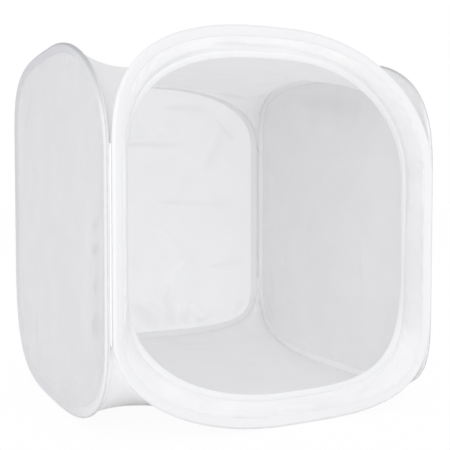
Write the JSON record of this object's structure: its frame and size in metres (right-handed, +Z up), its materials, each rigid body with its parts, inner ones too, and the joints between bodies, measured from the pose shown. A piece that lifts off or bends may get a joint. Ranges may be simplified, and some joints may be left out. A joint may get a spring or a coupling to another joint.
{
  "type": "light tent cube",
  "caption": "Pop-up cube of white diffusing cloth on flat spring hoops, open at the front through a cloth border, for lighting small products evenly.",
  "frame": {"origin": "centre of the floor cloth, on the surface that the tent stands on", "axes": "+X to the right seen from the open front, +Y from the front to the back, +Z up"},
  "size_m": [0.573, 0.608, 0.6],
  "materials": {
    "tent_cloth": "thin white woven nylon that lets light through",
    "border_cloth": "white woven nylon",
    "binding_tape": "white folded nylon tape",
    "touch_fastener": "white looped pile",
    "seam_cord": "white sewn cord",
    "spring_steel": "blued flat strip",
    "crimp_metal": "plain"
  },
  "bodies": {
    "front_frame": {"front_wire": "spring_steel", "front_ferrule": "crimp_metal", "front_binding": "binding_tape", "front_border": "border_cloth", "opening_hem": "binding_tape", "cover_strip_top": "touch_fastener", "cover_strip_left": "touch_fastener", "cover_strip_bottom": "touch_fastener", "cover_strip_right": "touch_fastener", "roof_panel": "tent_cloth", "floor_panel": "tent_cloth", "seam_front_left": "seam_cord", "seam_front_right": "seam_cord"},
    "left_wall": {"left_wire": "spring_steel", "left_ferrule": "crimp_metal", "left_binding": "binding_tape", "left_panel": "tent_cloth", "seam_back_left": "seam_cord"},
    "right_wall": {"right_wire": "spring_steel", "right_ferrule": "crimp_metal", "right_binding": "binding_tape", "right_panel": "tent_cloth"},
    "back_wall": {"back_wire": "spring_steel", "back_ferrule": "crimp_metal", "back_binding": "binding_tape", "back_panel": "tent_cloth", "seam_back_right": "seam_cord"}
  },
  "joints": [
    {"name": "left_wall_fold", "type": "hinge", "parent": "front_frame", "child": "left_wall", "pos_m": [-0.27819, -0.29569, 0.3], "axis": [0, 0, 1], "range_deg": [-88, 88], "stiffness_Nm_per_rad": 0.6, "deforming": ["roof_panel", "floor_panel", "front_border", "opening_hem", "cover_strip_top", "cover_strip_left", "cover_strip_bottom", "cover_strip_right"]},
    {"name": "right_wall_fold", "type": "hinge", "parent": "front_frame", "child": "right_wall", "pos_m": [0.27819, -0.29569, 0.3], "axis": [0, 0, 1], "range_deg": [-88, 88]},
    {"name": "back_wall_fold", "type": "hinge", "parent": "left_wall", "child": "back_wall", "pos_m": [-0.27819, 0.29569, 0.3], "axis": [0, 0, 1], "range_deg": [-88, 88]}
  ],
  "couplings": [
    {"joint": "right_wall_fold", "follows": "left_wall_fold", "ratio": 1},
    {"joint": "back_wall_fold", "follows": "left_wall_fold", "ratio": -1}
  ]
}
